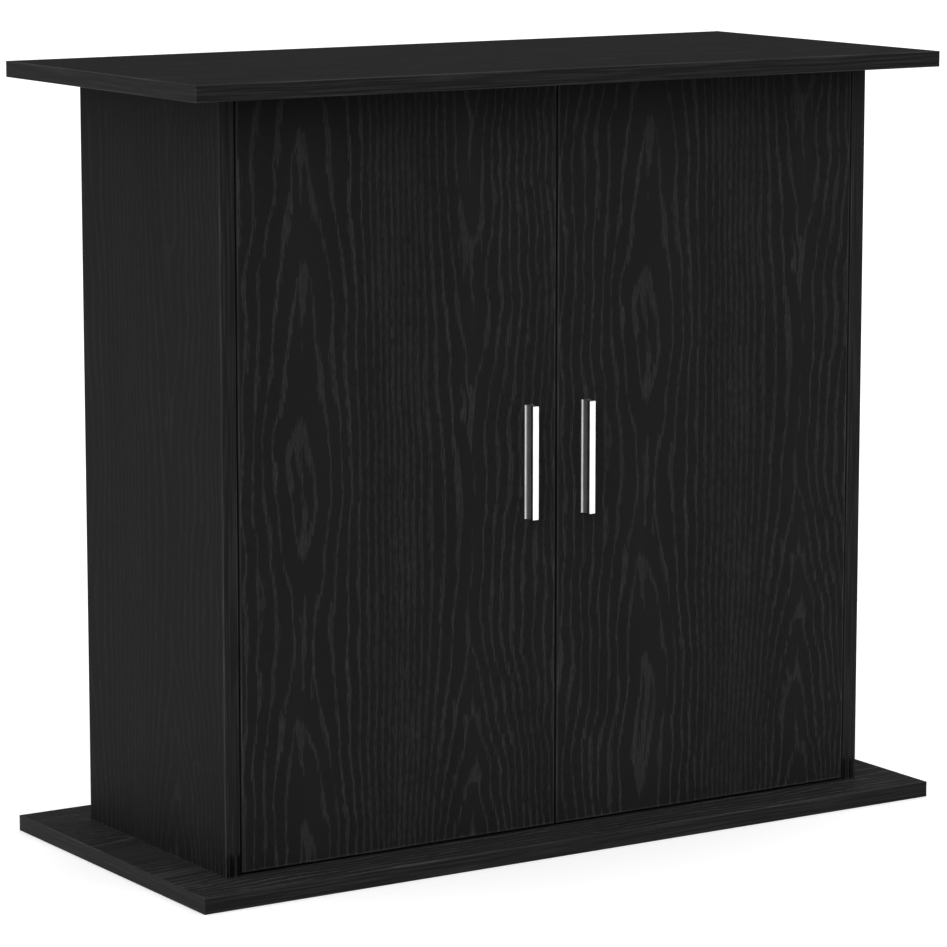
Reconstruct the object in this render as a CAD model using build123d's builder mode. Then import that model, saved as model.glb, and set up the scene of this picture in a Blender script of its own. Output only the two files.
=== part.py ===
from build123d import *

import os
from math import atan2, cos, degrees, hypot, radians, sin

# Aquarium stand cabinet: a flat-pack cabinet of foiled 15 mm boards. A wide top and base
# board hold a narrower body with two inset doors on concealed cup hinges.
#
# Millimetres. +X is to the right as seen from the front, -Y is the front, +Z is up. The
# origin is the middle of the base board's underside, on the floor. In functions, side is
# -1 for the left half and +1 for the right half.

# Overall size
WIDTH = 810
DEPTH = 360
HEIGHT = 730
BOARD = 15
OVERHANG = 50

# Edge bands glued round the boards
BAND = 1
BAND_ROUND = 0.6
BAND_JOINT = 0.05

# Gaps round the inset doors
SIDE_GAP = 2
CENTRE_GAP = 2.5
END_GAP = 2.5

# Inner boards
BACK_THICKNESS = 3
BACK_SETBACK = 12
GROOVE_DEPTH = 5
GROOVE_WIDTH = 3.3
PARTITION_SETBACK = 3
SHELF_UNDERSIDE = 350
SHELF_GAP = 1.5
SHELF_SETBACK = 15
CUTOUT_LENGTH = 140
CUTOUT_WIDTH = 60
CUTOUT_X = 170
CUTOUT_Z = 640
BACK_GAP = 0.5
NAIL_RADIUS = 0.8
NAIL_HEAD_RADIUS = 2.2
NAIL_HEAD_HEIGHT = 0.7
NAIL_INSET = 50
NAIL_PITCH = 120
NAIL_COUNT = 6

# Handles: a bar on a waisted base of the same length
HANDLE_LENGTH = 106.4
HANDLE_X = 31.55
HANDLE_Z = HEIGHT / 2
HANDLE_PROJECTION = 13.6
HANDLE_BASE_WIDTH = 9
HANDLE_BASE_EDGE = 1.2
WAIST_WIDTH = 4.8
WAIST_DEPTH = 6
BAR_WIDTH = 6.4
BAR_THICKNESS = 5
BAR_ROUND = 0.7
HANDLE_SCREW_SPACING = 96
HANDLE_SCREW_REACH = 12
HANDLE_SCREW_END_GAP = 0.3

# Flat-pack joints: cam locks with their bolts, and dowels, at both ends of each upright
CAM_Y = (-85, 85)
DOWEL_Y = (-45, 45)
CAM_RADIUS = 7.5
CAM_DEPTH = 12.5
CAM_DISTANCE = 34
BOLT_BORE_RADIUS = 4
BOLT_SHAFT_RADIUS = 3.5
BOLT_NECK_RADIUS = 1.8
BOLT_HEAD_HEIGHT = 3
BOLT_NECK_LENGTH = 8
BOLT_SHOULDER = 1
BOLT_THREAD_RADIUS = 2.5
BOLT_THREAD_LENGTH = 11
BOLT_ROOM = 0.3
CAM_CROSS = (7, 1.4)
CAM_CROSS_DEPTH = 2
BORE_END_ROOM = 1
DOWEL_RADIUS = 4
DOWEL_IN_BOARD = 10
DOWEL_LENGTH = 30

# Shelf pins, in rows of holes
PIN_RADIUS = 2.5
PIN_BORE_DEPTH = 6.2
PIN_LENGTH = 14
PIN_END_GAP = 0.2
PIN_COLLAR_RADIUS = 4
PIN_COLLAR = 1
PIN_Y = (-65, 75)
PIN_STEPS = (-2, -1, 0, 1, 2)
PIN_PITCH = 32

# Cup hinges. Their plan is drawn in (u, v): u from a side panel's inner face towards the
# cabinet's middle, v from the doors' front face towards the back.
HINGE_INSET = 95
CUP_U = 22.8
CUP_RADIUS = 17.5
CUP_WALL = 0.6
CUP_DEPTH = 12
FLANGE = 1
FLANGE_RADIUS = 19.2
WING_OFFSET = 6
WING_LENGTH = 62
WING_WIDTH = 11
CUP_SCREW_SPACING = 48
ARM_PIVOT = (35.6, 10.4)
CUP_PIVOT = (9.5, 10.0)
LINK_BENDS = ((9.5, 5.0), (31.0, 5.0))
LINK_THICKNESS = 2
LINK_HALF_WIDTH = 2.5
LINK_EYES = (2.3, 2.6)
FORK_GAP = 2.7
FORK_HALF_WIDTH = 4.6
PIVOT_RADIUS = 1.5
PIVOT_CLEARANCE = 0.05
ARM_BENDS = ((35.6, 21.5), (9.0, 39.0), (9.0, 92.0))
ARM_THICKNESS = 5.6
ARM_HALF_WIDTH = 7.5
ARM_SCREW_V = (56, 82)
ARM_WIDE_FROM_V = 47
FORK_SLOT = (8, 6.6)
PLATE_V = (38, 96)
PLATE_HALF_WIDTH = 9
PLATE_HEIGHT = 6.2
PLATE_CORNER = 3
WING_PLATE_V = (44, 60)
WING_PLATE_HALF_HEIGHT = 24
WING_PLATE_THICKNESS = 2.5
WING_PLATE_CORNER = 6
PLATE_SCREW_V = 52
PLATE_SCREW_SPACING = 32

# Door bumpers, on the centre partition's front edge
BUMPER_INSET = 45
BUMPER_X = 4.4
BUMPER_RADIUS = 2.8
BUMPER_THICKNESS = 2.6
BUMPER_ROUND = 1

# Screws: shank radius, shank length, head radius, head height
PLATE_SCREW = (1.5, 13.5, 3.4, 1.7)
ARM_SCREW = (2, ARM_THICKNESS + PLATE_HEIGHT - 2, 3.6, 2)
CUP_SCREW = (1.5, 11, 3.2, 1.8)
HANDLE_SCREW = (1.95, BOARD + HANDLE_SCREW_REACH, 4, 2.4)
HEAD_TAPER = 0.75
CROSS_WIDTH = 0.8
CROSS_DEPTH = 0.6
PILOT_RADIUS = 1.6
PILOT_DEPTH = 12
SCREW_CLEARANCE_RADIUS = 1.9
COUNTERSINK_RADIUS = 3.7
COUNTERSINK_DEPTH = 1.8
HANDLE_HOLE_RADIUS = 2.2
ARM_SCREW_HOLE_DEPTH = PLATE_HEIGHT - 1

# Hole fit between parts that are screwed or pressed together, and between pins and forks
FIT = 0.05
PIN_FIT = 0.02

# A solid that stands on its place, or hangs below it
STANDING = (Align.CENTER, Align.CENTER, Align.MIN)
HANGING = (Align.CENTER, Align.CENTER, Align.MAX)

# Derived places
BODY_WIDTH = WIDTH - 2 * OVERHANG
BODY_DEPTH = DEPTH - 2 * OVERHANG
INNER_X = BODY_WIDTH / 2 - BOARD
FRONT = -BODY_DEPTH / 2
REAR = BODY_DEPTH / 2
FLOOR = BOARD
CEILING = HEIGHT - BOARD
MID_Z = HEIGHT / 2
UPRIGHT_HEIGHT = CEILING - FLOOR
DOOR_BACK = FRONT + BOARD
BACK_Y = REAR - BACK_SETBACK - BACK_THICKNESS
DOOR_WIDTH = INNER_X - SIDE_GAP - CENTRE_GAP / 2
DOOR_HEIGHT = UPRIGHT_HEIGHT - 2 * END_GAP
DOOR_X = (CENTRE_GAP + DOOR_WIDTH) / 2
PARTITION_FRONT = DOOR_BACK + PARTITION_SETBACK
SHELF_FRONT = DOOR_BACK + SHELF_SETBACK
SHELF_REAR = BACK_Y - SHELF_GAP
SHELF_WIDTH = INNER_X - BOARD / 2 - 2 * SHELF_GAP
SHELF_X = BOARD / 2 + SHELF_GAP + SHELF_WIDTH / 2
JOINT_X = (-INNER_X - BOARD / 2, 0, INNER_X + BOARD / 2)
HINGE_Z = (FLOOR + END_GAP + HINGE_INSET, CEILING - END_GAP - HINGE_INSET)
PIN_Z = SHELF_UNDERSIDE - PIN_RADIUS
SIDES = {"left": -1, "right": 1}


# ---------------------------------------------------------------- helpers


def save(builder, name):
    """Labels a finished sub-part and writes it to its own file."""
    builder.part.label = name
    export_step(builder.part, f"parts/{name}.step")


def inner_face(side, u=0):
    """The plane at distance u from a side panel's inner face, facing the cabinet's middle.

    Its points are (-side * y, z)."""
    origin = (side * (INNER_X - u), 0, 0)
    return Plane(origin=origin, x_dir=(0, -side, 0), z_dir=(-side, 0, 0))


def door_plane(x, y, z):
    """A plane across the cabinet that faces the back, with its local y axis up."""
    return Plane(origin=(x, y, z), x_dir=(-1, 0, 0), z_dir=(0, 1, 0))


def plan(side, point):
    """A hinge's (u, v) point in the cabinet's X and Y."""
    return (side * (INNER_X - point[0]), FRONT + point[1])


def bore(plane, points, radius, depth):
    """Cuts round holes of one depth into the part being built."""
    with BuildSketch(plane) as mouths:
        with Locations(*points):
            Circle(radius)
    extrude(mouths.sketch, amount=-depth, mode=Mode.SUBTRACT)


def strip_between(start, end, width):
    """Adds a round-ended strip from start to end to the sketch being built."""
    run = (end[0] - start[0], end[1] - start[1])
    middle = ((start[0] + end[0]) / 2, (start[1] + end[1]) / 2, 0)
    with Locations(Location(middle, (0, 0, degrees(atan2(run[1], run[0]))))):
        SlotCenterToCenter(hypot(*run), width)


def edge_strip(length, height):
    """A straight edge band along X, with its rounded outer face towards -Y."""
    with BuildPart(mode=Mode.PRIVATE) as strip:
        with BuildSketch(Plane.YZ) as section:
            Rectangle(BAND, height)
            outer = section.vertices().group_by(Axis.X)[0]
            fillet(outer, BAND_ROUND)
        extrude(amount=length / 2, both=True)
    return strip.part


def band_ring(plane, size_x, size_y):
    """Adds the four edge bands of a board to the part being built, butted at the corners.

    The plane lies at the board's middle; the sizes are the finished board's."""
    long_strip = edge_strip(size_x, BOARD)
    short_strip = edge_strip(size_y - 2 * (BAND + BAND_JOINT), BOARD)
    for turn, strip, reach in (
        (0, long_strip, size_y),
        (90, short_strip, size_x),
        (180, long_strip, size_y),
        (270, short_strip, size_x),
    ):
        out = (reach - BAND) / 2
        place = (out * sin(radians(turn)), -out * cos(radians(turn)), 0)
        with Locations(plane * Location(place, (0, 0, turn))):
            add(strip)


def screws(places, shank_radius, shank_length, head_radius, head_height, sunk=False):
    """Adds cross-head screws: each place is the head's seat, with +Z out of the work."""
    top = 0 if sunk else head_height
    with Locations(*places):
        Cylinder(shank_radius, shank_length, align=HANGING)
    with Locations(*[place * Pos(0, 0, top - head_height) for place in places]):
        if sunk:
            Cone(shank_radius, head_radius, head_height, align=STANDING)
        else:
            Cone(head_radius, HEAD_TAPER * head_radius, head_height, align=STANDING)
    with Locations(*[place * Pos(0, 0, top) for place in places]):
        for size in ((head_radius, CROSS_WIDTH), (CROSS_WIDTH, head_radius)):
            Box(*size, CROSS_DEPTH * head_height, align=HANGING, mode=Mode.SUBTRACT)


# ---------------------------------------------------------------- top and base boards


def wide_board(name, middle_z, inner_z, up):
    """The top or base board, with the bolt and dowel holes in its inner face."""
    with BuildPart() as board:
        with Locations((0, 0, middle_z)):
            Box(WIDTH - 2 * BAND, DEPTH - 2 * BAND, BOARD)
        face = Plane(origin=(0, 0, inner_z), x_dir=(1, 0, 0), z_dir=(0, 0, up))
        bolts = [(x, y) for x in JOINT_X for y in CAM_Y]
        bore(face, bolts, BOLT_THREAD_RADIUS + FIT, BOLT_THREAD_LENGTH + BORE_END_ROOM)
        pegs = [(x, y) for x in JOINT_X for y in DOWEL_Y]
        bore(face, pegs, DOWEL_RADIUS + FIT, DOWEL_IN_BOARD + BORE_END_ROOM)
    save(board, f"{name}_board")

    with BuildPart() as bands:
        band_ring(Plane.XY.offset(middle_z), WIDTH, DEPTH)
    save(bands, f"{name}_edge_bands")


wide_board("base", BOARD / 2, FLOOR, 1)
wide_board("top", HEIGHT - BOARD / 2, CEILING, -1)


# ---------------------------------------------------------------- uprights


def end_bores(x):
    """Cuts the bolt and dowel holes into both ends of the upright being built."""
    for z, up in ((FLOOR, -1), (CEILING, 1)):
        end = Plane(origin=(x, 0, z), x_dir=(1, 0, 0), z_dir=(0, 0, up))
        bore(end, [(0, y) for y in CAM_Y], BOLT_BORE_RADIUS, CAM_DISTANCE)
        dowel_depth = DOWEL_LENGTH - DOWEL_IN_BOARD + BORE_END_ROOM
        bore(end, [(0, y) for y in DOWEL_Y], DOWEL_RADIUS + FIT, dowel_depth)


def cam_centres(side):
    """The cam locks' centres on a face that looks towards -side in X."""
    heights = (FLOOR + CAM_DISTANCE, CEILING - CAM_DISTANCE)
    return [(-side * y, z) for y in CAM_Y for z in heights]


def pin_centres(side):
    """The shelf-pin holes' centres on a face that looks towards -side in X."""
    heights = [PIN_Z + step * PIN_PITCH for step in PIN_STEPS]
    return [(-side * y, z) for y in PIN_Y for z in heights]


def plate_screw_centres(side):
    """The hinge plates' screws on a side panel's inner face."""
    offsets = (-PLATE_SCREW_SPACING / 2, PLATE_SCREW_SPACING / 2)
    return [(-side * (FRONT + PLATE_SCREW_V), z + dz) for z in HINGE_Z for dz in offsets]


for hand, side in SIDES.items():
    with BuildPart() as side_panel:
        with Locations((side * (INNER_X + BOARD / 2), 0, MID_Z)):
            Box(BOARD, BODY_DEPTH - 2 * BAND, UPRIGHT_HEIGHT)
        end_bores(side * (INNER_X + BOARD / 2))
        bore(inner_face(side), cam_centres(side), CAM_RADIUS, CAM_DEPTH)
        bore(inner_face(side), pin_centres(side), PIN_RADIUS, PIN_BORE_DEPTH)
        bore(inner_face(side), plate_screw_centres(side), PILOT_RADIUS, PILOT_DEPTH)
        with Locations((side * INNER_X, BACK_Y + BACK_THICKNESS / 2, MID_Z)):
            Box(2 * GROOVE_DEPTH, GROOVE_WIDTH, UPRIGHT_HEIGHT, mode=Mode.SUBTRACT)
    save(side_panel, f"{hand}_side_panel")

with BuildPart() as side_bands:
    upright_strip = edge_strip(UPRIGHT_HEIGHT, BOARD)
    for side in SIDES.values():
        for y, out in ((FRONT, -1), (REAR, 1)):
            origin = (side * (INNER_X + BOARD / 2), y - out * BAND / 2, MID_Z)
            with Locations(Plane(origin=origin, x_dir=(0, 0, 1), z_dir=(out, 0, 0))):
                add(upright_strip)
save(side_bands, "side_edge_bands")

with BuildPart() as partition:
    partition_depth = BACK_Y - PARTITION_FRONT - BAND
    with Locations((0, BACK_Y - partition_depth / 2, MID_Z)):
        Box(BOARD, partition_depth, UPRIGHT_HEIGHT)
    end_bores(0)
    left_face = Plane(origin=(-BOARD / 2, 0, 0), x_dir=(0, -1, 0), z_dir=(-1, 0, 0))
    right_face = Plane(origin=(BOARD / 2, 0, 0), x_dir=(0, 1, 0), z_dir=(1, 0, 0))
    bore(left_face, cam_centres(1), CAM_RADIUS, CAM_DEPTH)
    bore(left_face, pin_centres(1), PIN_RADIUS, PIN_BORE_DEPTH)
    bore(right_face, pin_centres(-1), PIN_RADIUS, PIN_BORE_DEPTH)
save(partition, "centre_partition")

with BuildPart() as partition_band:
    band_middle = (0, PARTITION_FRONT + BAND / 2, MID_Z)
    with Locations(Plane(origin=band_middle, x_dir=(0, 0, 1), z_dir=(-1, 0, 0))):
        add(edge_strip(UPRIGHT_HEIGHT, BOARD))
save(partition_band, "partition_edge_band")


# ---------------------------------------------------------------- back panel

nail_heights = [FLOOR + NAIL_INSET + NAIL_PITCH * step for step in range(NAIL_COUNT)]

with BuildPart() as back_panel:
    back_width = 2 * (INNER_X + GROOVE_DEPTH - BACK_GAP)
    with Locations((0, BACK_Y + BACK_THICKNESS / 2, MID_Z)):
        Box(back_width, BACK_THICKNESS, UPRIGHT_HEIGHT - 2 * BACK_GAP)
    back_face = door_plane(0, BACK_Y + BACK_THICKNESS, 0)
    with BuildSketch(back_face):
        with Locations((-CUTOUT_X, CUTOUT_Z), (CUTOUT_X, CUTOUT_Z)):
            SlotOverall(CUTOUT_LENGTH, CUTOUT_WIDTH)
    extrude(amount=-BACK_THICKNESS, mode=Mode.SUBTRACT)
    bore(back_face, [(0, z) for z in nail_heights], NAIL_RADIUS + FIT, BACK_THICKNESS)
save(back_panel, "back_panel")

with BuildPart() as nails:
    nail_seats = [Location(door_plane(0, BACK_Y + BACK_THICKNESS, z)) for z in nail_heights]
    with Locations(*nail_seats):
        Cylinder(NAIL_RADIUS, BACK_THICKNESS, align=HANGING)
        Cylinder(NAIL_HEAD_RADIUS, NAIL_HEAD_HEIGHT, align=STANDING)
save(nails, "back_panel_nails")


# ---------------------------------------------------------------- shelves

for hand, side in SIDES.items():
    with BuildPart() as shelf:
        shelf_depth = SHELF_REAR - SHELF_FRONT - BAND
        with Locations((side * SHELF_X, SHELF_REAR - shelf_depth / 2, SHELF_UNDERSIDE + BOARD / 2)):
            Box(SHELF_WIDTH, shelf_depth, BOARD)
    save(shelf, f"{hand}_shelf")

with BuildPart() as shelf_bands:
    shelf_strip = edge_strip(SHELF_WIDTH, BOARD)
    for side in SIDES.values():
        with Locations((side * SHELF_X, SHELF_FRONT + BAND / 2, SHELF_UNDERSIDE + BOARD / 2)):
            add(shelf_strip)
save(shelf_bands, "shelf_edge_bands")

with BuildPart() as shelf_pins:
    seats = []
    for side in SIDES.values():
        for y in PIN_Y:
            seats.append(Location(inner_face(side)) * Pos(-side * y, PIN_Z, 0))
            wall = Plane(origin=(side * BOARD / 2, 0, 0), x_dir=(0, side, 0), z_dir=(side, 0, 0))
            seats.append(Location(wall) * Pos(side * y, PIN_Z, 0))
    with Locations(*[seat * Pos(0, 0, PIN_END_GAP - PIN_BORE_DEPTH) for seat in seats]):
        Cylinder(PIN_RADIUS - FIT, PIN_LENGTH, align=STANDING)
    with Locations(*seats):
        Cylinder(PIN_COLLAR_RADIUS, PIN_COLLAR, align=STANDING)
save(shelf_pins, "shelf_pins")


# ---------------------------------------------------------------- flat-pack fittings


def upright_ends(y_places):
    """Places at the uprights' ends, with +Z into the upright, away from the wide board."""
    ends = []
    for x in JOINT_X:
        for y in y_places:
            ends.append(Location(Plane(origin=(x, y, FLOOR), x_dir=(1, 0, 0), z_dir=(0, 0, 1))))
            ends.append(Location(Plane(origin=(x, y, CEILING), x_dir=(1, 0, 0), z_dir=(0, 0, -1))))
    return ends


with BuildPart() as dowels:
    with Locations(*[end * Pos(0, 0, -DOWEL_IN_BOARD) for end in upright_ends(DOWEL_Y)]):
        Cylinder(DOWEL_RADIUS, DOWEL_LENGTH, align=STANDING)
save(dowels, "dowels")

with BuildPart() as cam_bolts:
    with BuildSketch(Plane.XZ) as half_bolt:
        with BuildLine():
            Polyline(
                (0, -BOLT_THREAD_LENGTH),
                (BOLT_THREAD_RADIUS, -BOLT_THREAD_LENGTH),
                (BOLT_THREAD_RADIUS, 0),
                (BOLT_SHAFT_RADIUS, 0),
                (BOLT_SHAFT_RADIUS, CAM_DISTANCE - BOLT_NECK_LENGTH - BOLT_SHOULDER),
                (BOLT_NECK_RADIUS, CAM_DISTANCE - BOLT_NECK_LENGTH),
                (BOLT_NECK_RADIUS, CAM_DISTANCE - BOLT_HEAD_HEIGHT),
                (BOLT_SHAFT_RADIUS, CAM_DISTANCE - BOLT_HEAD_HEIGHT),
                (BOLT_SHAFT_RADIUS, CAM_DISTANCE),
                (0, CAM_DISTANCE),
                close=True,
            )
        make_face()
    bolt = revolve(half_bolt.sketch, axis=Axis.Z, mode=Mode.PRIVATE)
    with Locations(*upright_ends(CAM_Y)):
        add(bolt)
save(cam_bolts, "cam_bolts")

with BuildPart() as cam_locks:
    cam_faces = [Location(inner_face(side)) * Pos(*c) for side in (-1, 1) for c in cam_centres(side)]
    cam_faces += [Location(left_face) * Pos(*c) for c in cam_centres(1)]
    with Locations(*cam_faces):
        Cylinder(CAM_RADIUS - FIT, CAM_DEPTH - FIT, align=HANGING)
        for size in (CAM_CROSS, CAM_CROSS[::-1]):
            Box(*size, CAM_CROSS_DEPTH, align=HANGING, mode=Mode.SUBTRACT)
    bolt_room = 2 * (BOLT_SHAFT_RADIUS + BOLT_ROOM)
    with Locations(*upright_ends(CAM_Y)):
        Box(bolt_room, bolt_room, CAM_DISTANCE + BORE_END_ROOM, align=STANDING, mode=Mode.SUBTRACT)
save(cam_locks, "cam_locks")


# ---------------------------------------------------------------- hinges, cabinet side


def plate_screw_seats(side):
    """The hinge plates' screws, level with the wings' surface."""
    wing_top = Location(inner_face(side, WING_PLATE_THICKNESS))
    return [wing_top * Pos(*centre) for centre in plate_screw_centres(side)]


def arm_screw_centres(side, z):
    """The two screws that hold a hinge arm on its plate."""
    return [(-side * (FRONT + v), z) for v in ARM_SCREW_V]


with BuildPart() as hinge_plates:
    for side in SIDES.values():
        for z in HINGE_Z:
            with BuildSketch(inner_face(side)):
                with Locations((-side * (FRONT + sum(PLATE_V) / 2), z)):
                    length = PLATE_V[1] - PLATE_V[0]
                    RectangleRounded(length, 2 * PLATE_HALF_WIDTH, PLATE_CORNER)
            extrude(amount=PLATE_HEIGHT)
            with BuildSketch(inner_face(side)):
                with Locations((-side * (FRONT + sum(WING_PLATE_V) / 2), z)):
                    length = WING_PLATE_V[1] - WING_PLATE_V[0]
                    RectangleRounded(length, 2 * WING_PLATE_HALF_HEIGHT, WING_PLATE_CORNER)
            extrude(amount=WING_PLATE_THICKNESS)
            centres = arm_screw_centres(side, z)
            bore(inner_face(side, PLATE_HEIGHT), centres, ARM_SCREW[0] + FIT, ARM_SCREW_HOLE_DEPTH)
        with Locations(*plate_screw_seats(side)):
            Cylinder(
                SCREW_CLEARANCE_RADIUS, WING_PLATE_THICKNESS, align=HANGING, mode=Mode.SUBTRACT
            )
            Cone(
                SCREW_CLEARANCE_RADIUS,
                COUNTERSINK_RADIUS,
                COUNTERSINK_DEPTH,
                align=HANGING,
                mode=Mode.SUBTRACT,
            )
save(hinge_plates, "hinge_plates")

with BuildPart() as plate_screws:
    for side in SIDES.values():
        screws(plate_screw_seats(side), *PLATE_SCREW, sunk=True)
save(plate_screws, "hinge_plate_screws")

with BuildPart() as hinge_arms:
    for side in SIDES.values():
        for z in HINGE_Z:
            with BuildSketch(Plane.XY.offset(z)):
                path = [plan(side, point) for point in (ARM_PIVOT, *ARM_BENDS)]
                for start, end in zip(path, path[1:]):
                    strip_between(start, end, ARM_THICKNESS)
            extrude(amount=FORK_HALF_WIDTH, both=True)
            with BuildSketch(Plane.XY.offset(z)):
                wide_start = plan(side, (ARM_BENDS[1][0], ARM_WIDE_FROM_V))
                strip_between(wide_start, path[-1], ARM_THICKNESS)
            extrude(amount=ARM_HALF_WIDTH, both=True)
            with BuildSketch(Plane.XY.offset(z)):
                with Locations(plan(side, ARM_PIVOT)):
                    Rectangle(*FORK_SLOT)
            extrude(amount=FORK_GAP, both=True, mode=Mode.SUBTRACT)
            fork_top = Plane.XY.offset(z + FORK_HALF_WIDTH)
            bore(fork_top, [path[0]], PIVOT_RADIUS + PIN_FIT, 2 * FORK_HALF_WIDTH)
            arm_top = inner_face(side, ARM_BENDS[1][0] + ARM_THICKNESS / 2)
            bore(arm_top, arm_screw_centres(side, z), ARM_SCREW[0] + 2 * FIT, ARM_THICKNESS)
save(hinge_arms, "hinge_arms")

with BuildPart() as arm_pins:
    for side in SIDES.values():
        for z in HINGE_Z:
            with Locations((*plan(side, ARM_PIVOT), z)):
                Cylinder(PIVOT_RADIUS, 2 * FORK_HALF_WIDTH)
save(arm_pins, "hinge_arm_pins")

with BuildPart() as arm_screws:
    for side in SIDES.values():
        arm_top = Location(inner_face(side, ARM_BENDS[1][0] + ARM_THICKNESS / 2))
        seats = [arm_top * Pos(*c) for z in HINGE_Z for c in arm_screw_centres(side, z)]
        screws(seats, *ARM_SCREW)
save(arm_screws, "hinge_arm_screws")

with BuildPart() as bumpers:
    for side in SIDES.values():
        for z in (FLOOR + BUMPER_INSET, CEILING - BUMPER_INSET):
            with BuildSketch(door_plane(side * BUMPER_X, PARTITION_FRONT, z)):
                Circle(BUMPER_RADIUS)
            extrude(amount=-BUMPER_THICKNESS)
    rims = bumpers.edges().filter_by(GeomType.CIRCLE).group_by(Axis.Y)[0]
    fillet(rims, BUMPER_ROUND)
save(bumpers, "door_bumpers")


# ---------------------------------------------------------------- doors


def cup_centres(side):
    """The cups' centres on a door's inner face."""
    return [door_plane(side * (INNER_X - CUP_U), DOOR_BACK, z) for z in HINGE_Z]


def cup_screw_seats(side):
    """The cup flanges' screws, seated on the flange."""
    offsets = (-CUP_SCREW_SPACING / 2, CUP_SCREW_SPACING / 2)
    seats = []
    for cup in cup_centres(side):
        for dz in offsets:
            seats.append(Location(cup) * Pos(side * WING_OFFSET, dz, FLANGE))
    return seats


def handle_screw_heights():
    """The heights of a handle's two screws."""
    return (HANDLE_Z - HANDLE_SCREW_SPACING / 2, HANDLE_Z + HANDLE_SCREW_SPACING / 2)


def door_boards(hand, side):
    """A door's board, bored for its hinges and handle, and the bands round its edges."""
    with BuildPart() as door:
        with Locations((side * DOOR_X, FRONT + BOARD / 2, MID_Z)):
            Box(DOOR_WIDTH - 2 * BAND, BOARD, DOOR_HEIGHT - 2 * BAND)
        for cup in cup_centres(side):
            bore(cup, [(0, 0)], CUP_RADIUS + FIT, CUP_DEPTH)
        with Locations(*cup_screw_seats(side)):
            Cylinder(PILOT_RADIUS, PILOT_DEPTH, align=HANGING, mode=Mode.SUBTRACT)
        screw_holes = [(0, z) for z in handle_screw_heights()]
        bore(door_plane(side * HANDLE_X, DOOR_BACK, 0), screw_holes, HANDLE_HOLE_RADIUS, BOARD)
    save(door, f"{hand}_door")

    with BuildPart() as bands:
        middle = (side * DOOR_X, FRONT + BOARD / 2, MID_Z)
        door_middle = Plane(origin=middle, x_dir=(1, 0, 0), z_dir=(0, -1, 0))
        band_ring(door_middle, DOOR_WIDTH, DOOR_HEIGHT)
    save(bands, f"{hand}_door_edge_bands")


def door_cups(hand, side):
    """A door's two hinge cups with their flanges and pin lugs, and the cups' pins and screws."""
    with BuildPart() as cups:
        for cup, z in zip(cup_centres(side), HINGE_Z):
            with BuildSketch(cup):
                Circle(FLANGE_RADIUS)
                with Locations((side * WING_OFFSET, 0)):
                    SlotOverall(WING_LENGTH, WING_WIDTH, rotation=90)
            extrude(amount=FLANGE)
            bore(cup.offset(FLANGE), [(0, 0)], CUP_RADIUS - CUP_WALL, FLANGE)
            with BuildSketch(cup):
                Circle(CUP_RADIUS)
                Circle(CUP_RADIUS - CUP_WALL, mode=Mode.SUBTRACT)
            extrude(amount=-CUP_DEPTH)
            with BuildSketch(cup.offset(CUP_WALL - CUP_DEPTH)):
                Circle(CUP_RADIUS - CUP_WALL / 2)
            extrude(amount=-CUP_WALL)
            lug_x, lug_y = plan(side, CUP_PIVOT)
            lug_foot = FRONT + BOARD - CUP_DEPTH + CUP_WALL / 2
            lug_depth = lug_y + LINK_EYES[0] - lug_foot
            lug_width = FORK_HALF_WIDTH - FORK_GAP
            for dz in (-1, 1):
                lug_z = z + dz * (FORK_GAP + FORK_HALF_WIDTH) / 2
                with Locations((lug_x, lug_foot + lug_depth / 2, lug_z)):
                    Box(2 * LINK_EYES[0], lug_depth, lug_width)
            lug_top = Plane.XY.offset(z + FORK_HALF_WIDTH)
            bore(lug_top, [(lug_x, lug_y)], PIVOT_RADIUS + PIN_FIT, 2 * FORK_HALF_WIDTH)
        with Locations(*cup_screw_seats(side)):
            Cylinder(SCREW_CLEARANCE_RADIUS, FLANGE, align=HANGING, mode=Mode.SUBTRACT)
    save(cups, f"{hand}_hinge_cups")

    with BuildPart() as pins:
        with Locations(*[(*plan(side, CUP_PIVOT), z) for z in HINGE_Z]):
            Cylinder(PIVOT_RADIUS, 2 * FORK_HALF_WIDTH)
    save(pins, f"{hand}_cup_pins")

    with BuildPart() as cup_screws:
        screws(cup_screw_seats(side), *CUP_SCREW)
    save(cup_screws, f"{hand}_cup_screws")


def hinge_links(hand, side):
    """A door's two hinge links: bent strips that reach from the arm's pin to the cup's pin."""
    with BuildPart() as links:
        for z in HINGE_Z:
            with BuildSketch(Plane.XY.offset(z)):
                path = [plan(side, point) for point in (CUP_PIVOT, *LINK_BENDS, ARM_PIVOT)]
                for start, end in zip(path, path[1:]):
                    strip_between(start, end, LINK_THICKNESS)
                for eye, radius in zip((path[0], path[-1]), LINK_EYES):
                    with Locations(eye):
                        Circle(radius)
                for eye in (path[0], path[-1]):
                    with Locations(eye):
                        Circle(PIVOT_RADIUS + PIVOT_CLEARANCE, mode=Mode.SUBTRACT)
            extrude(amount=LINK_HALF_WIDTH, both=True)
    save(links, f"{hand}_hinge_links")


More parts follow.
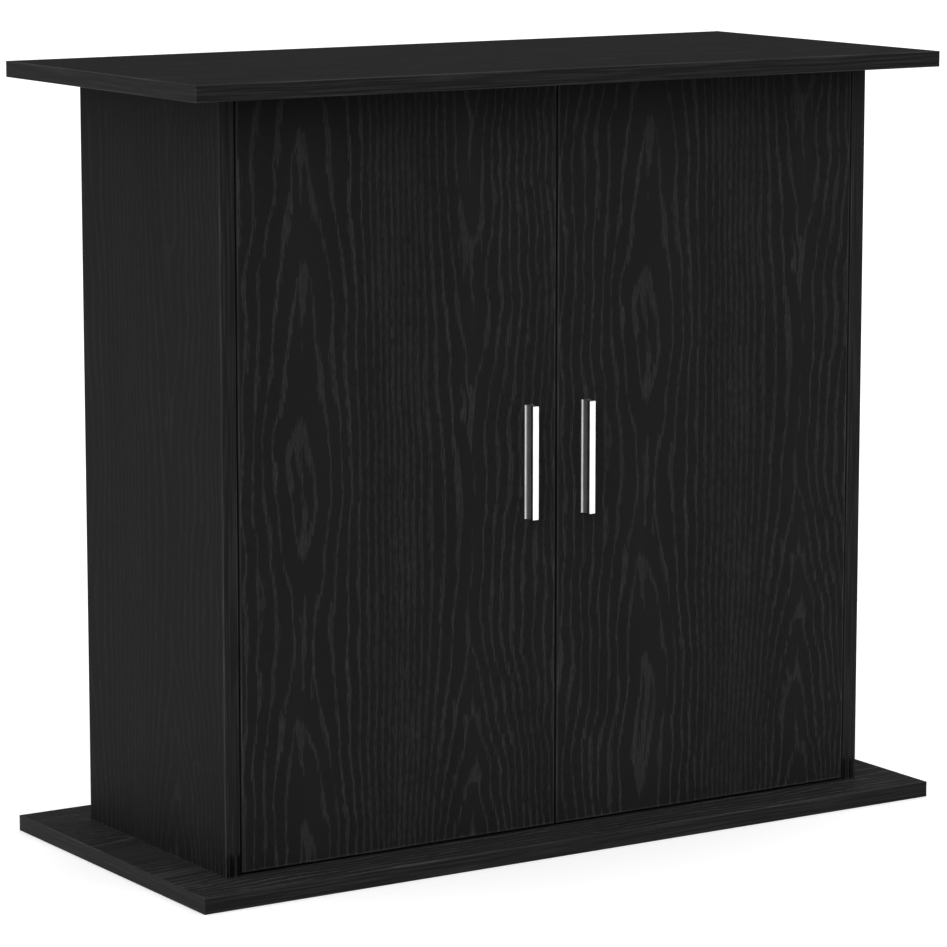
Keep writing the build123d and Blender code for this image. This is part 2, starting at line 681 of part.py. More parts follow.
def handle(hand, side):
    """A door's handle: a bar on a waisted base, held by two screws through the door."""
    screw_x = side * HANDLE_X
    bar_back = FRONT - HANDLE_PROJECTION + BAR_THICKNESS
    holes = [(0, z) for z in handle_screw_heights()]
    screw_radius = HANDLE_SCREW[0]

    with BuildPart() as base:
        foot = Plane(origin=(screw_x, FRONT, HANDLE_Z), x_dir=(1, 0, 0), z_dir=(0, 0, 1))
        with BuildSketch(foot):
            with BuildLine():
                half_base = HANDLE_BASE_WIDTH / 2
                half_waist = WAIST_WIDTH / 2
                Polyline((0, 0), (half_base, 0), (half_base, -HANDLE_BASE_EDGE))
                EllipticalCenterArc(
                    (half_base, -WAIST_DEPTH),
                    half_base - half_waist,
                    WAIST_DEPTH - HANDLE_BASE_EDGE,
                    start_angle=90,
                    arc_size=90,
                )
                Polyline(
                    (half_waist, -WAIST_DEPTH),
                    (half_waist, bar_back - FRONT),
                    (0, bar_back - FRONT),
                    (0, 0),
                )
            make_face()
            mirror(about=Plane.YZ)
        extrude(amount=HANDLE_LENGTH / 2, both=True)
        bore(door_plane(screw_x, FRONT, 0), holes, screw_radius + FIT, FRONT - bar_back)
    save(base, f"{hand}_handle_base")

    with BuildPart() as bar:
        with Locations((screw_x, bar_back - BAR_THICKNESS / 2, HANDLE_Z)):
            Box(BAR_WIDTH, BAR_THICKNESS, HANDLE_LENGTH)
        fillet(bar.edges(), BAR_ROUND)
        thread_depth = HANDLE_SCREW_REACH - (FRONT - bar_back) + HANDLE_SCREW_END_GAP
        bore(door_plane(screw_x, bar_back, 0), holes, screw_radius + FIT, thread_depth)
    save(bar, f"{hand}_handle_bar")

    with BuildPart() as handle_screws:
        seats = [Location(door_plane(screw_x, DOOR_BACK, z)) for z in handle_screw_heights()]
        screws(seats, *HANDLE_SCREW)
    save(handle_screws, f"{hand}_handle_screws")


for hand, side in SIDES.items():
    door_boards(hand, side)
    door_cups(hand, side)
    hinge_links(hand, side)
    handle(hand, side)
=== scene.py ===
from math import cos, radians, sin, sqrt, tanh

import bmesh
import bpy
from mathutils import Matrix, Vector


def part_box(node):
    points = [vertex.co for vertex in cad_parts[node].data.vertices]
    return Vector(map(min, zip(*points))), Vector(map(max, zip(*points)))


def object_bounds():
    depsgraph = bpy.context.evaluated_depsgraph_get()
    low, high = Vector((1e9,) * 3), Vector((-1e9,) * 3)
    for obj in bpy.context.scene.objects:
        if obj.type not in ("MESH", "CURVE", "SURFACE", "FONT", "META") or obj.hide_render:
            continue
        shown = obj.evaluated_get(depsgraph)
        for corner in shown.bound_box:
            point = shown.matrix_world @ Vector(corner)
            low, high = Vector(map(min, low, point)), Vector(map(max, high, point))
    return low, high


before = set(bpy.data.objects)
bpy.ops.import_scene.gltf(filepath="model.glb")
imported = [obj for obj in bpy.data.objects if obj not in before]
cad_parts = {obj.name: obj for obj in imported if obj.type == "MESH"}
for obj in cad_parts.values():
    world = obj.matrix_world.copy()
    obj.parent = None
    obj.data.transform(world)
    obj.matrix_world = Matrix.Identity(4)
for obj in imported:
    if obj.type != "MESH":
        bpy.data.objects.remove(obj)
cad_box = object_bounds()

# Aquarium stand cabinet in black oak foil: materials, floor, light and camera round the
# CAD model. Places are in metres; the shaders work in millimetres and in the cabinet's
# own axes, which stay with a door when it swings.

HANDS = ("left", "right")
AXES = "xyz"


# ---------------------------------------------------------------- node trees


class Shader:
    """A material's node tree, with short calls for its maths."""

    def __init__(self, name):
        self.material = bpy.data.materials.new(name)
        self.material.use_nodes = True
        self.tree = self.material.node_tree
        self.tree.nodes.clear()
        self.surface = self.node("ShaderNodeBsdfPrincipled")
        output = self.node("ShaderNodeOutputMaterial")
        self.tree.links.new(self.surface.outputs[0], output.inputs["Surface"])
        coordinates = self.node("ShaderNodeTexCoord").outputs
        self.normal = self.split(coordinates["Normal"])
        self.place = self.stretch(coordinates["Object"], (1000, 1000, 1000))
        self.x, self.y, self.z = self.split(self.place)

    def node(self, kind, **settings):
        made = self.tree.nodes.new(kind)
        for name, value in settings.items():
            setattr(made, name, value)
        return made

    def feed(self, socket, value):
        if isinstance(value, bpy.types.NodeSocket):
            self.tree.links.new(value, socket)
        else:
            socket.default_value = value

    def math(self, operation, *values, clamp=False):
        made = self.node("ShaderNodeMath", operation=operation, use_clamp=clamp)
        for socket, value in zip(made.inputs, values):
            self.feed(socket, value)
        return made.outputs[0]

    def add(self, a, b):
        return self.math("ADD", a, b)

    def times(self, a, b):
        return self.math("MULTIPLY", a, b)

    def split(self, vector):
        made = self.node("ShaderNodeSeparateXYZ")
        self.feed(made.inputs[0], vector)
        return made.outputs

    def join(self, x, y, z=0.0):
        made = self.node("ShaderNodeCombineXYZ")
        for socket, value in zip(made.inputs, (x, y, z)):
            self.feed(socket, value)
        return made.outputs[0]

    def stretch(self, vector, factors):
        made = self.node("ShaderNodeVectorMath", operation="MULTIPLY")
        self.feed(made.inputs[0], vector)
        made.inputs[1].default_value = factors
        return made.outputs[0]

    def noise(self, vector, scale=1.0, detail=2.0, roughness=0.5):
        """Smooth noise from 0 to 1, with its mean at 0.5."""
        made = self.node("ShaderNodeTexNoise")
        self.feed(made.inputs["Vector"], vector)
        for name, value in (("Scale", scale), ("Detail", detail), ("Roughness", roughness)):
            made.inputs[name].default_value = value
        return made.outputs[0]

    def streaks(self, across, along, rates, **settings):
        """Noise on a board; rates are how fast it changes across and along, per millimetre."""
        across_rate, along_rate = rates
        point = self.join(self.times(across, across_rate), self.times(along, along_rate))
        return self.noise(point, **settings)

    def cells(self, vector):
        """One random value from 0 to 1 for each cell."""
        made = self.node("ShaderNodeTexVoronoi")
        self.feed(made.inputs["Vector"], vector)
        made.inputs["Scale"].default_value = 1
        return self.split(made.outputs["Color"])[0]

    def ease(self, value, start, end, low=0.0, high=1.0):
        """Goes smoothly from low to high as value goes from start to end."""
        made = self.node("ShaderNodeMapRange", interpolation_type="SMOOTHSTEP")
        limits = {"From Min": start, "From Max": end, "To Min": low, "To Max": high}
        for name, number in limits.items():
            made.inputs[name].default_value = number
        self.feed(made.inputs["Value"], value)
        return made.outputs[0]

    def mix(self, share, low, high):
        """A number between low and high."""
        made = self.node("ShaderNodeMix", data_type="FLOAT")
        for place, value in zip((0, 2, 3), (share, low, high)):
            self.feed(made.inputs[place], value)
        return made.outputs[0]

    def paint(self, share, low, high):
        """A colour between low and high."""
        made = self.node("ShaderNodeMix", data_type="RGBA")
        for place, value in zip((0, 6, 7), (share, low, high)):
            self.feed(made.inputs[place], value)
        return made.outputs[2]

    def bump(self, height, depth):
        """Raises the surface by depth metres where height is 1."""
        made = self.node("ShaderNodeBump")
        made.inputs["Distance"].default_value = depth
        self.feed(made.inputs["Height"], height)
        self.feed(self.surface.inputs["Normal"], made.outputs[0])

    def set(self, **values):
        """Sets the surface's own sockets, such as base_color or roughness."""
        for name, value in values.items():
            socket = name.replace("_", " ").title().replace("Ior", "IOR")
            self.feed(self.surface.inputs[socket], value)


def grey(level):
    """A neutral colour of that linear brightness."""
    return (level, level, level, 1)


# ---------------------------------------------------------------- oak figure

# The foil is a print of plain-sawn oak. Growth rings cross the board as a phase that
# grows by one from ring to ring. Going across, it has a low at one flame and a high at
# a second, narrower flame, and climbs quickly between them, where the grain is straight
# and fine. Along the board the phase rises and falls slowly at each flame, which closes
# the rings into arches and eyes. Sizes are in millimetres.
WIDE_FLAME = 61
NARROW_FLAME = 246
WIDE_FLAME_TIP = 14
NARROW_FLAME_TIP = 11

# Rings per millimetre before the wide flame, between the flames and after the narrow one
EDGE_RINGS = 1 / 11.5
INNER_RINGS = 1 / 16
FAR_RINGS = 1 / 8

# The fine grain adds twice FINE_RINGS, most of them within FINE_SPREAD of its middle
FINE_MIDDLE = 168
FINE_SPREAD = 45
FINE_RINGS = 5.4

# How far the phase has risen at places along each flame: (place, phase)
RISE_LENGTH = (-150, 750)
RISE_TOP = 7
WIDE_RISE = (
    (-150, 2.3), (-79, 2.0), (-20, 1.7), (56, 2.0), (151, 3.0), (215, 3.7),
    (298, 3.0), (358, 2.56), (424, 3.0), (565, 4.0), (683, 5.0), (750, 5.5),
)
NARROW_RISE = (
    (-150, 6.4), (-60, 5.0), (8, 4.0), (71, 3.0), (127, 2.0), (195, 1.0),
    (300, 0.45), (440, 1.0), (576, 2.0), (690, 3.0), (750, 3.4),
)

# Away from its flame the rise fades towards a middle value, so that the rings run straight
MIDDLE_RISE = 2.8
FADE_START = 12
FADE_END = 70
FADED_SHARE = 0.35

# Between the flames, one flame's rise gives way to the other's
WIDE_RISE_END = WIDE_FLAME + 3 * WIDE_FLAME_TIP
NARROW_RISE_START = NARROW_FLAME - 3 * NARROW_FLAME_TIP

# The phase falls by EDGE_RINGS a millimetre, climbs by INNER_RINGS and falls by FAR_RINGS
LEFT_SLOPE = (EDGE_RINGS + INNER_RINGS) / 2
RIGHT_SLOPE = (INNER_RINGS + FAR_RINGS) / 2
LEAN = -(EDGE_RINGS + FAR_RINGS) / 2

# A ring's pale line is made of narrow dashes along the board
DASH_WIDTH = 0.95
DASH_LENGTH = 11
DASH_SNAP = 0.75

# The lines swell from thin to thick, less so where the rings are close, and take at most
# WIDEST_SHARE of a ring
LINE_WIDTH = 2.5
THIN_LINE = 0.85 * LINE_WIDTH
THICK_LINE = 3 * LINE_WIDTH
THICK_CLOSE_LINE = 1.4 * LINE_WIDTH
WIDEST_SHARE = 0.6

# In a flame's middle the phase hardly changes, and a line takes up to this much of a ring
FLAME_SHARE = 0.5
FLAME_CHANGE = 0.035

# Each dash has its own share of the line's width, from the least to that plus the rest
LEAST_REACH = 0.65
REST_OF_REACH = 0.7

# How far the lines bend to and fro. Near the middle of the fine grain only CALM of that is
# left, and it grows to the full over the two distances of CALM_REACH.
WANDER = 42
TREMBLE = 4.5
CALM = 0.3
CALM_REACH = (30, 90)

# How much darker than the ground the pores are, where 1 is how much lighter a line is
PORE_DARKNESS = 0.25

# How fast each noise changes across and along, per millimetre
WANDER_RATES = (0.008, 0.007)
TREMBLE_RATES = (0.12, 0.018)
CRUMB_RATES = (0.8, 0.12)
SWELL_RATES = (0.05, 0.012)
PATCH_RATES = (0.03, 0.006)


def rings_across(across):
    """The phase straight across the board, without the constant."""
    left = LEFT_SLOPE * sqrt((across - WIDE_FLAME) ** 2 + WIDE_FLAME_TIP**2)
    right = RIGHT_SLOPE * sqrt((across - NARROW_FLAME) ** 2 + NARROW_FLAME_TIP**2)
    return left - right + LEAN * across + FINE_RINGS * tanh((across - FINE_MIDDLE) / FINE_SPREAD)


def flame(s, across, centre, tip, slope):
    """The part of the phase that turns round at one flame, and how fast it changes."""
    off = s.math("SUBTRACT", across, centre)
    root = s.math("SQRT", s.math("MULTIPLY_ADD", off, off, tip**2))
    return s.times(root, slope), s.times(s.math("DIVIDE", off, root), slope)


def rise(s, across, along, centre, places):
    """The part of the phase that changes along the board at one flame."""
    low, high = RISE_LENGTH
    curve = s.node("ShaderNodeFloatCurve")
    points = curve.mapping.curves[0].points
    while len(points) < len(places):
        points.new(0.5, 0.5)
    for point, (place, phase) in zip(points, places):
        point.location = ((place - low) / (high - low), phase / RISE_TOP)
    curve.mapping.update()
    s.feed(curve.inputs["Value"], s.math("DIVIDE", s.math("SUBTRACT", along, low), high - low))
    risen = s.math("MULTIPLY_ADD", curve.outputs[0], RISE_TOP, -MIDDLE_RISE)
    off = s.math("ABSOLUTE", s.math("SUBTRACT", across, centre))
    kept = s.ease(off, FADE_START, FADE_END, 1.0, FADED_SHARE)
    return s.math("MULTIPLY_ADD", risen, kept, MIDDLE_RISE)


def rings(s, across, along):
    """The phase at a point, and how fast it changes across the board."""
    left, left_change = flame(s, across, WIDE_FLAME, WIDE_FLAME_TIP, LEFT_SLOPE)
    right, right_change = flame(s, across, NARROW_FLAME, NARROW_FLAME_TIP, -RIGHT_SLOPE)
    step = s.math("TANH", s.math("DIVIDE", s.math("SUBTRACT", across, FINE_MIDDLE), FINE_SPREAD))
    straight = s.math("MULTIPLY_ADD", across, LEAN, s.times(step, FINE_RINGS))
    fastest = FINE_RINGS / FINE_SPREAD
    straight_change = s.math("MULTIPLY_ADD", s.times(step, step), -fastest, fastest)

    # With these levels the phase at each flame is its rise plus a whole number
    wide_level = rings_across(WIDE_FLAME)
    narrow_level = wide_level + (rings_across(NARROW_FLAME) - wide_level) % 1
    wide_rise = rise(s, across, along, WIDE_FLAME, WIDE_RISE)
    narrow_rise = rise(s, across, along, NARROW_FLAME, NARROW_RISE)
    risen = s.mix(
        s.ease(across, WIDE_RISE_END, NARROW_RISE_START),
        s.math("SUBTRACT", wide_rise, wide_level),
        s.math("SUBTRACT", narrow_rise, narrow_level),
    )
    phase = s.add(s.add(left, right), s.add(straight, risen))
    change = s.add(s.add(left_change, right_change), s.add(straight_change, LEAN))
    return phase, s.math("ABSOLUTE", change)


def dashes(s, across, along):
    """A point drawn towards the middle of its dash, and two numbers of the dash's own, 0 to 1."""
    cells = s.node("ShaderNodeTexVoronoi", voronoi_dimensions="2D")
    cells.inputs["Scale"].default_value = 1
    point = s.join(s.times(across, 1 / DASH_WIDTH), s.times(along, 1 / DASH_LENGTH))
    s.feed(cells.inputs["Vector"], point)
    middle = s.split(cells.outputs["Position"])
    own = s.split(cells.outputs["Color"])
    across = s.mix(DASH_SNAP, across, s.times(middle[0], DASH_WIDTH))
    along = s.mix(DASH_SNAP, along, s.times(middle[1], DASH_LENGTH))
    return across, along, own[0], own[1]


def oak_grain(s, across, along):
    """How much lighter than the ground a point is, up to 1, or darker, below 0."""
    crumbs = s.streaks(across, along, CRUMB_RATES, detail=3, roughness=0.7)
    across, along, reach, glow = dashes(s, across, along)
    wander = s.streaks(across, along, WANDER_RATES)
    tremble = s.streaks(across, along, TREMBLE_RATES, roughness=0.6)
    from_fine = s.math("ABSOLUTE", s.math("SUBTRACT", across, FINE_MIDDLE))
    bend = s.ease(from_fine, *CALM_REACH, CALM, 1.0)
    moved = across
    for noise, distance in ((wander, WANDER), (tremble, TREMBLE)):
        moved = s.add(moved, s.times(s.math("SUBTRACT", noise, 0.5), s.times(bend, distance)))
    phase, change = rings(s, moved, along)

    swell = s.streaks(across, along, SWELL_RATES, detail=1)
    widest = s.ease(change, 0.06, 0.1, THICK_LINE, THICK_CLOSE_LINE)
    width = s.mix(s.ease(swell, 0.45, 0.68), THIN_LINE, widest)
    in_flame = s.ease(change, FLAME_CHANGE, 0.0, 0.0, FLAME_SHARE)
    share = s.math("MAXIMUM", s.times(change, width), in_flame)
    share = s.math("MINIMUM", share, WIDEST_SHARE)
    ragged = s.times(share, s.math("MULTIPLY_ADD", reach, REST_OF_REACH, LEAST_REACH))
    lit = s.math("GREATER_THAN", s.math("FRACT", phase), s.math("SUBTRACT", 1.0, ragged))

    patches = s.streaks(across, along, PATCH_RATES, detail=1)
    strength = s.math("MULTIPLY_ADD", glow, 0.5, 0.5)
    strength = s.times(strength, s.ease(patches, 0.35, 0.65, 0.75, 1.0))
    strength = s.times(strength, s.ease(change, 0.09, 0.16, 1.0, 0.72))
    strength = s.times(strength, s.ease(crumbs, 0.34, 0.6, 0.5, 1.3))
    pores = s.times(s.ease(crumbs, 0.52, 0.38), s.ease(change, 0.04, 0.1))
    return s.math("MULTIPLY_ADD", lit, strength, s.times(pores, -PORE_DARKNESS))


# ---------------------------------------------------------------- boards

# Foil: the linear brightness of its ground and its grain lines, and how it shines
FOIL_DARK = 0.0105
FOIL_LIGHT = 0.0255
FOIL_ROUGHNESS = 0.6
FOIL_SPECULAR = 0.04
FLAT_SPECULAR = 0.015

# How much the fine flecks change the ground's brightness, and how deep they are in metres
FLECK = 0.0025
FLECK_RATES = (1.6, 0.05)
FOIL_RELIEF = 0.00006
CLOUD_RATES = (0.02, 0.004)

# Painted highlight along the arrises: how wide it is, in metres, and how much paler it makes the
# foil
ARRIS_RADIUS = 0.002
ARRIS_HIGHLIGHT = 1.4

# Edge bands: the linear brightness between and on their streaks
BAND_DARK = 0.0072
BAND_LIGHT = 0.0177
BAND_SPECULAR = 0.05
BAND_RELIEF = 0.00005
STREAK_RATES = (0.5, 0.008)
PORE_RATES = (1.8, 0.04)

# Dark streaks at the foot of a band: they end FOOT_HEIGHT above the base board or up to
# FOOT_REACH higher, and fade out over FOOT_FADE
FOOT_RATES = (0.55, 0.012)
FOOT_HEIGHT = 6
FOOT_REACH = 30
FOOT_FADE = 4
FOOT_DARKNESS = 0.85

CHIP_DARK = (0.16, 0.095, 0.045, 1)
CHIP_PALE = (0.5, 0.36, 0.2, 1)
HARDBOARD_DARK = (0.15, 0.085, 0.04, 1)
HARDBOARD_PALE = (0.27, 0.165, 0.085, 1)
HARDBOARD_SPECK = (0.08, 0.045, 0.022, 1)


# The mask for the painted highlight along the arrises
def arris(s):
    """How close a point is to a sharp edge of its part, from 0 to 1."""
    rounded = s.node("ShaderNodeBevel", samples=4)
    rounded.inputs["Radius"].default_value = ARRIS_RADIUS
    turned = s.node("ShaderNodeVectorMath", operation="DOT_PRODUCT")
    s.feed(turned.inputs[0], rounded.outputs[0])
    s.feed(turned.inputs[1], s.node("ShaderNodeNewGeometry").outputs["True Normal"])
    return s.ease(turned.outputs["Value"], 0.998, 0.93)


def black_foil(s, level):
    """The colour of black foil of that brightness, with a painted highlight along each arris."""
    # Painted highlight: the foil is paler near each sharp edge, where a rounded arris would catch
    # the light
    level = s.times(level, s.math("MULTIPLY_ADD", arris(s), ARRIS_HIGHLIGHT, 1.0))
    return s.join(level, level, level)


def chipboard(s):
    """The pale pressed chips of a board's raw edges and bores."""
    chips = s.cells(s.stretch(s.place, (0.5, 0.5, 0.5)))
    dust = s.noise(s.place, scale=1.6, detail=3)
    share = s.math("MULTIPLY_ADD", chips, 0.6, s.times(dust, 0.4))
    return s.paint(share, CHIP_DARK, CHIP_PALE)


def board(name, thickness_axis, across, along, contrast, painted_light_factor=1.0, gloss=FOIL_SPECULAR):
    """Foil on a board's two faces and bare chipboard on its other surfaces.

    across and along say where the print lies: an axis, a factor and a start in millimetres."""
    s = Shader(name)
    axes = dict(zip(AXES, (s.x, s.y, s.z)))
    u, v = (
        s.math("MULTIPLY_ADD", axes[axis], factor, start)
        for axis, factor, start in (across, along)
    )
    grain = oak_grain(s, u, v)
    cloud = s.streaks(u, v, CLOUD_RATES)
    fleck = s.streaks(u, v, FLECK_RATES)
    ground = s.math("MULTIPLY_ADD", s.math("SUBTRACT", fleck, 0.5), FLECK, FOIL_DARK)
    ground = s.times(ground, s.ease(cloud, 0.3, 0.7, 0.94, 1.06))
    level = s.math("MULTIPLY_ADD", grain, (FOIL_LIGHT - FOIL_DARK) * contrast, ground)
    # Painted light: this factor makes lighter or darker copies of one foil, for boards that the
    # light falls on differently
    foil = black_foil(s, s.times(level, painted_light_factor))
    face = s.ease(s.math("ABSOLUTE", s.normal[AXES.index(thickness_axis)]), 0.6, 0.8)
    s.set(
        base_color=s.paint(face, chipboard(s), foil),
        roughness=s.mix(face, 0.9, s.math("MULTIPLY_ADD", grain, 0.1, FOIL_ROUGHNESS)),
        specular_ior_level=gloss,
    )
    s.bump(s.math("MULTIPLY_ADD", grain, -0.6, fleck), FOIL_RELIEF)
    return s.material


def edge_band(name, cross_axis, painted_light_factor=1.0, foot=None):
    """Edge banding with streaks along the strip.

    foot is the least height in millimetres at which dark streaks at its low end stop."""
    s = Shader(name)
    axes = dict(zip(AXES, (s.x, s.y, s.z)))
    cross = axes.pop(cross_axis)
    length = s.add(*axes.values())
    streaks = s.streaks(cross, length, STREAK_RATES, detail=4, roughness=0.6)
    pores = s.streaks(cross, length, PORE_RATES)
    share = s.times(s.ease(streaks, 0.42, 0.62), s.ease(pores, 0.3, 0.6, 0.5, 1.0))
    level = s.math("MULTIPLY_ADD", share, BAND_LIGHT - BAND_DARK, BAND_DARK)
    # Painted light: this factor makes lighter or darker copies of one band, for parts that the
    # light falls on differently
    level = s.times(level, painted_light_factor)
    if foot is not None:
        stripe = s.streaks(cross, length, FOOT_RATES, detail=1)
        height = s.add(s.z, s.times(stripe, -FOOT_REACH))
        dark = s.times(s.ease(stripe, 0.42, 0.5), s.ease(height, foot, foot - FOOT_FADE))
        level = s.times(level, s.math("MULTIPLY_ADD", dark, -FOOT_DARKNESS, 1.0))
    s.set(
        base_color=black_foil(s, level),
        roughness=s.math("MULTIPLY_ADD", streaks, 0.15, 0.4),
        specular_ior_level=BAND_SPECULAR,
    )
    s.bump(s.math("MULTIPLY_ADD", share, -0.5, pores), BAND_RELIEF)
    return s.material


def hardboard(name):
    """Thin fibre board: a black painted face inside and a bare brown face behind."""
    s = Shader(name)
    fibres = s.noise(s.place, scale=0.5, detail=5, roughness=0.7)
    specks = s.ease(s.noise(s.place, scale=1.1), 0.58, 0.7)
    behind = s.ease(s.normal[1], -0.6, -0.4)
    bare = s.paint(fibres, HARDBOARD_DARK, HARDBOARD_PALE)
    bare = s.paint(s.times(specks, 0.5), bare, HARDBOARD_SPECK)
    painted = s.paint(fibres, grey(0.012), grey(0.019))
    s.set(
        base_color=s.paint(behind, painted, bare),
        roughness=s.mix(behind, 0.55, 0.85),
        specular_ior_level=0.25,
    )
    s.bump(fibres, 0.00015)
    return s.material


# ---------------------------------------------------------------- metals and fittings

SMUDGE_SHADE = 0.86


def metal(name, colour, roughness, brush, spread, depth=0.00001):
    """Plated or brushed metal with smudges.

    brush is how fast its marks change along each axis, per millimetre; spread is how much
    the roughness varies; depth is the marks' depth in metres."""
    s = Shader(name)
    marks = s.noise(s.stretch(s.place, brush), detail=4, roughness=0.6)
    smudge = s.noise(s.place, scale=0.07, detail=3)
    dull = s.math("MULTIPLY_ADD", s.math("SUBTRACT", marks, 0.5), spread, roughness)
    dull = s.math("MULTIPLY_ADD", s.math("SUBTRACT", smudge, 0.5), spread, dull, clamp=True)
    bright = (*colour, 1)
    darker = (*(SMUDGE_SHADE * part for part in colour), 1)
    base_color = s.paint(s.ease(smudge, 0.35, 0.7), bright, darker)
    s.set(base_color=base_color, roughness=dull, metallic=1.0)
    s.bump(marks, depth)
    return s.material


BEECH_DARK = (0.52, 0.34, 0.19, 1)
BEECH_PALE = (0.66, 0.47, 0.29, 1)
BEECH_FLECK = (0.34, 0.19, 0.09, 1)


def beech(name):
    """Pale turned wood with short dark flecks along the dowel."""
    s = Shader(name)
    fibres = s.noise(s.stretch(s.place, (1.2, 1.2, 0.12)), detail=3)
    flecks = s.ease(s.noise(s.stretch(s.place, (2.5, 2.5, 0.5))), 0.6, 0.72)
    pale = s.paint(fibres, BEECH_DARK, BEECH_PALE)
    s.set(base_color=s.paint(flecks, pale, BEECH_FLECK), roughness=0.7)
    s.bump(fibres, 0.0001)
    return s.material


def soft_rubber(name):
    """Dull moulded rubber with a little dust."""
    s = Shader(name)
    dust = s.noise(s.place, scale=0.9, detail=4)
    s.set(base_color=s.paint(dust, grey(0.03), grey(0.06)), roughness=s.mix(dust, 0.7, 0.9))
    s.bump(dust, 0.00005)
    return s.material


# ---------------------------------------------------------------- finishes on the CAD nodes


def finish(material, *names):
    """Puts the material on CAD nodes, in place of their plain one."""
    for name in names:
        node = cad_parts[name]
        if not node.material_slots:
            node.data.materials.append(material)
        for held in node.material_slots:
            held.material = material


def each_hand(*endings):
    """The names of the left and the right node with each ending."""
    return [f"{hand}_{ending}" for hand in HANDS for ending in endings]


def left_edge(name):
    """A node's lowest X, in millimetres."""
    return 1000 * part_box(name)[0].x


BODY_BACK = 1000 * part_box("left_side_panel")[1].y
TOP_BACK = 1000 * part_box("top_board")[1].y
BASE_TOP = 1000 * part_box("base_board")[1].z

# The same print is cut at a different place, across and along, for each door
DOOR_CUTS = {"left": (0, 0), "right": (35, 114)}

# Where the other boards are cut from it. On flat boards it is longer along, and on the top
# and base boards it is finer across too.
SIDE_CUT = 77
FLAT_CUT = 330
SHELF_CUT = 260
FINER = 1.3
LONGER = 0.9

for hand, (cut_across, cut_along) in DOOR_CUTS.items():
    start = -left_edge(f"{hand}_door") - cut_across
    foil = board(
        f"{hand}_door_foil", "y", ("x", 1, start), ("z", 1, -cut_along), contrast=1.0
    )
    finish(foil, f"{hand}_door")

# Painted light: the factors below give lit and shaded copies of one foil, with the base board
# lighter and the side and top boards darker
side_foil = board(
    "side_foil", "x", ("y", -1, BODY_BACK + SIDE_CUT), ("z", 1, 0), contrast=0.75, painted_light_factor=0.94
)
finish(side_foil, "left_side_panel", "right_side_panel", "centre_partition")

for name, contrast, painted_light_factor in (("top_board", 0.8, 0.86), ("base_board", 1.1, 1.5)):
    across, along = ("y", FINER, TOP_BACK), ("x", LONGER, FLAT_CUT)
    foil = board(f"{name}_foil", "z", across, along, contrast, painted_light_factor, FLAT_SPECULAR)
    finish(foil, name)

shelf_foil = board("shelf_foil", "z", ("y", 1, TOP_BACK), ("x", LONGER, SHELF_CUT), contrast=0.6)
finish(shelf_foil, *each_hand("shelf"))

# Painted light: the factors here make the bands lighter than the door bands
upright_bands = edge_band("upright_bands", "x", painted_light_factor=1.15, foot=BASE_TOP + FOOT_HEIGHT)
finish(edge_band("wide_bands", "z", painted_light_factor=1.1), "top_edge_bands", "shelf_edge_bands")
finish(edge_band("base_bands", "z", painted_light_factor=1.15), "base_edge_bands")
finish(upright_bands, "side_edge_bands", "partition_edge_band")
finish(edge_band("door_bands", "y"), *each_hand("door_edge_bands"))
finish(hardboard("hardboard"), "back_panel")

chrome = metal(
    "chrome", (0.93, 0.935, 0.94), 0.05, brush=(0.5, 0.5, 0.05), spread=0.04, depth=0.000002
)
satin = metal("satin_metal", (0.44, 0.44, 0.45), 0.4, brush=(3.0, 3.0, 0.03), spread=0.15)
nickel = metal("nickel_plate", (0.66, 0.64, 0.6), 0.24, brush=(0.9, 0.9, 0.15), spread=0.12)
zinc_plate = metal("zinc_plate", (0.6, 0.61, 0.62), 0.35, brush=(0.8, 0.8, 0.8), spread=0.2)
cast_zinc = metal(
    "cast_zinc", (0.42, 0.42, 0.43), 0.5, brush=(1.4, 1.4, 1.4), spread=0.25, depth=0.00008
)

finish(chrome, *each_hand("handle_bar"))
finish(satin, *each_hand("handle_base"))
finish(nickel, "hinge_plates", "hinge_arms", *each_hand("hinge_cups", "hinge_links"))
finish(zinc_plate, "back_panel_nails", "shelf_pins", "cam_bolts", "hinge_plate_screws")
finish(zinc_plate, "hinge_arm_pins", "hinge_arm_screws")
finish(zinc_plate, *each_hand("cup_pins", "cup_screws", "handle_screws"))
finish(cast_zinc, "cam_locks")
finish(beech("beech"), "dowels")
finish(soft_rubber("soft_rubber"), "door_bumpers")


# ---------------------------------------------------------------- floor, light and camera

# The floor lies just under the cabinet. It glows to the eye, and is dimmer for the light
# that it throws back.
FLOOR_RADIUS = 45
FLOOR_DROP = 0.0002
FLOOR_GLOW = 0.36
FLOOR_DIM = 0.35


def floor():
    """A plain pale floor, wide enough to fill the view behind the cabinet."""
    mesh = bpy.data.meshes.new("floor")
    work = bmesh.new()
    bmesh.ops.create_circle(work, cap_ends=True, radius=FLOOR_RADIUS, segments=64)
    bmesh.ops.translate(work, vec=(0, 0, cad_box[0].z - FLOOR_DROP), verts=work.verts)
    work.to_mesh(mesh)
    work.free()
    made = bpy.data.objects.new("floor", mesh)
    bpy.context.scene.collection.objects.link(made)
    s = Shader("pale_floor")
    mottle = s.noise(s.place, scale=0.004)
    bounced = s.node("ShaderNodeLightPath").outputs["Is Diffuse Ray"]
    seen = s.paint(mottle, grey(0.9), grey(0.93))
    s.set(
        base_color=s.paint(bounced, seen, grey(FLOOR_DIM)),
        roughness=0.9,
        specular_ior_level=0.1,
        emission_color=grey(1.0),
        emission_strength=s.times(s.math("SUBTRACT", 1.0, bounced), FLOOR_GLOW),
    )
    mesh.materials.append(s.material)
    return made


def from_direction(azimuth, elevation):
    """The unit vector towards a place round the cabinet, with azimuth 0 at the front."""
    a, e = radians(azimuth), radians(elevation)
    return Vector((sin(a) * cos(e), -cos(a) * cos(e), sin(e)))


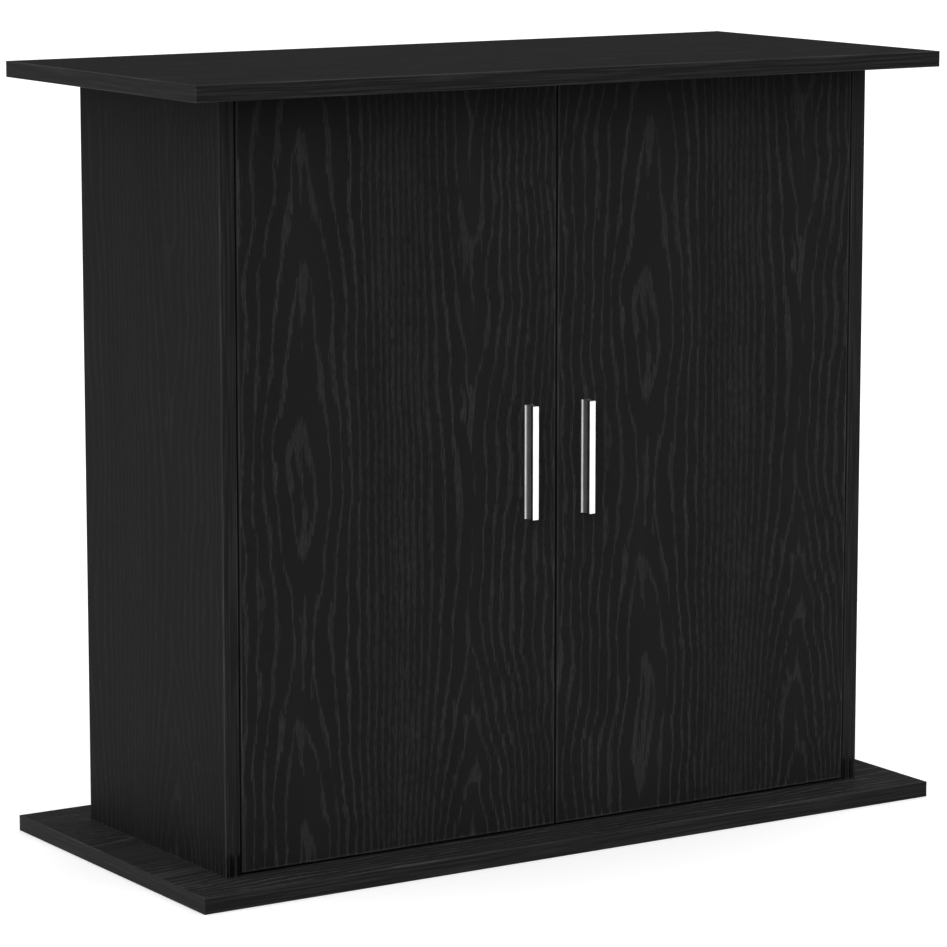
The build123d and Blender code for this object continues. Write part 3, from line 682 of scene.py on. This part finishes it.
def light(name, azimuth, elevation, strength, spread, leaves_out=()):
    """A soft far light from one direction, which doesn't fall on the objects in leaves_out."""
    data = bpy.data.lights.new(name, "SUN")
    data.energy = strength
    data.angle = radians(spread)
    made = bpy.data.objects.new(name, data)
    made.rotation_mode = "QUATERNION"
    made.rotation_quaternion = from_direction(azimuth, elevation).to_track_quat("Z", "Y")
    bpy.context.scene.collection.objects.link(made)
    if leaves_out:
        dark = bpy.data.collections.new(f"not_lit_by_{name}")
        made.light_linking.receiver_collection = dark
        for thing in leaves_out:
            dark.objects.link(thing)
        for held in dark.collection_objects:
            held.light_linking.link_state = "EXCLUDE"


def surround(horizon, zenith, high, for_camera):
    """A white surround that lights from above, and is seen as even white.

    Its light grows from horizon to zenith, which it reaches where a direction's height is high."""
    world = bpy.data.worlds.new("surround")
    world.use_nodes = True
    nodes, links = world.node_tree.nodes, world.node_tree.links
    nodes.clear()
    direction = nodes.new("ShaderNodeTexCoord")
    height = nodes.new("ShaderNodeSeparateXYZ")
    glow = nodes.new("ShaderNodeMapRange")
    glow.interpolation_type = "SMOOTHSTEP"
    glow.inputs["From Max"].default_value = high
    glow.inputs["To Min"].default_value = horizon
    glow.inputs["To Max"].default_value = zenith
    path = nodes.new("ShaderNodeLightPath")
    level = nodes.new("ShaderNodeMapRange")
    level.inputs["To Max"].default_value = for_camera
    background = nodes.new("ShaderNodeBackground")
    background.inputs["Color"].default_value = (1, 1, 1, 1)
    output = nodes.new("ShaderNodeOutputWorld")
    links.new(direction.outputs["Generated"], height.inputs[0])
    links.new(height.outputs["Z"], glow.inputs["Value"])
    links.new(path.outputs["Is Camera Ray"], level.inputs["Value"])
    links.new(glow.outputs[0], level.inputs["To Min"])
    links.new(level.outputs[0], background.inputs["Strength"])
    links.new(background.outputs[0], output.inputs["Surface"])
    bpy.context.scene.world = world


def camera(aim, azimuth, elevation, distance, lens):
    """The camera, aimed at a point from one direction and distance; lens is in millimetres."""
    data = bpy.data.cameras.new("camera")
    data.sensor_width = 36
    data.lens = lens
    data.clip_start, data.clip_end = 0.05, 200
    made = bpy.data.objects.new("camera", data)
    back = from_direction(azimuth, elevation)
    made.location = aim + back * distance
    made.rotation_mode = "QUATERNION"
    made.rotation_quaternion = back.to_track_quat("Z", "Y")
    bpy.context.scene.collection.objects.link(made)
    bpy.context.scene.camera = made


ground = floor()
surround(horizon=0.045, zenith=0.67, high=0.7, for_camera=1.0)
light("key", azimuth=-45, elevation=20, strength=2.27, spread=50, leaves_out=[ground])
light("top", azimuth=10, elevation=80, strength=1.41, spread=90)
light("fill", azimuth=94, elevation=5, strength=1.3, spread=30, leaves_out=[ground])
camera(
    Vector((-0.0083, -0.0007, 0.3335)), azimuth=-32.72, elevation=9.49, distance=4.079, lens=162.83
)
bpy.context.scene.view_settings.view_transform = "Standard"
